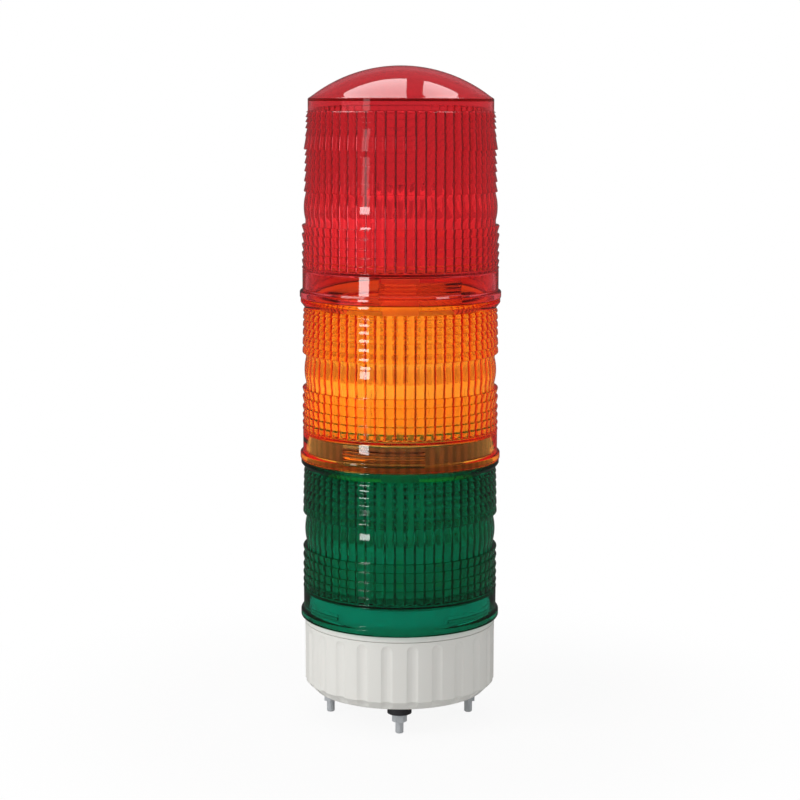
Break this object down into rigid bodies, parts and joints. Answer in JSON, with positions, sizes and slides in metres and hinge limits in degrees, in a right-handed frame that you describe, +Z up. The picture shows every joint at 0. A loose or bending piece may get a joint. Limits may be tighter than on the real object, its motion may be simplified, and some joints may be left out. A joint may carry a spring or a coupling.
{
  "type": "stack light",
  "caption": "Stud-mounted machine status light: red, amber and green ring lenses that twist one onto the other over a fluted ivory base.",
  "frame": {"origin": "on the tower's axis, in the plane of the four stud tips that it stands on", "axes": "+Z up along the tower's axis, -Y the front as seen in the picture, +X to the viewer's right"},
  "size_m": [0.125, 0.125, 0.4083],
  "materials": {
    "ivory_abs": "moulded ivory ABS, fine matt grain",
    "red_polycarbonate": "clear red polycarbonate, polished mould",
    "amber_polycarbonate": "clear amber polycarbonate, polished mould",
    "green_polycarbonate": "clear green polycarbonate, polished mould",
    "black_rubber": "matt moulded rubber",
    "seal_rubber": "cut sheet rubber",
    "zinc_steel": "bright zinc plate",
    "plain_aluminium": "drawn aluminium",
    "white_abs": "white reflector plastic, satin",
    "white_board": "white solder mask",
    "diode_lens": "cast silicone",
    "green_board": "green solder mask",
    "black_plastic": "moulded epoxy and nylon",
    "lead_insulation": "extruded white insulation"
  },
  "bodies": {
    "base": {"base_housing": "ivory_abs", "base_top_cover": "ivory_abs", "cover_screws": "zinc_steel", "stud_plate": "zinc_steel", "mounting_studs": "zinc_steel", "mounting_pads": "black_rubber", "flange_nuts": "zinc_steel", "cable_grommet": "black_rubber", "control_board": "green_board", "board_standoffs": "white_abs", "board_screws": "zinc_steel", "terminal_block": "black_plastic", "board_capacitors": "black_plastic", "driver_chips": "black_plastic", "column_foot": "white_abs", "foot_screws": "zinc_steel", "column_tube": "plain_aluminium", "lower_spacer": "white_abs", "upper_spacer": "white_abs", "column_washer": "zinc_steel", "column_nut": "white_abs", "column_leads": "lead_insulation", "green_lamp_drum": "white_abs", "green_light_boards": "white_board", "green_diodes": "diode_lens", "amber_lamp_drum": "white_abs", "amber_light_boards": "white_board", "amber_diodes": "diode_lens", "red_lamp_drum": "white_abs", "red_light_boards": "white_board", "red_diodes": "diode_lens", "base_seal_ring": "seal_rubber"},
    "green_stage": {"green_lens": "green_polycarbonate", "green_seal_ring": "seal_rubber"},
    "amber_stage": {"amber_lens": "amber_polycarbonate", "amber_seal_ring": "seal_rubber"},
    "red_stage": {"red_lens": "red_polycarbonate"}
  },
  "joints": [
    {"name": "green_lens_twist", "type": "hinge", "parent": "base", "child": "green_stage", "pos_m": [0, 0, 0.0653], "axis": [0, 0, 1], "range_deg": [0, 60]},
    {"name": "amber_lens_twist", "type": "hinge", "parent": "green_stage", "child": "amber_stage", "pos_m": [0, 0, 0.166], "axis": [0, 0, 1], "range_deg": [0, 60]},
    {"name": "red_lens_twist", "type": "hinge", "parent": "amber_stage", "child": "red_stage", "pos_m": [0, 0, 0.2667], "axis": [0, 0, 1], "range_deg": [0, 60]}
  ]
}
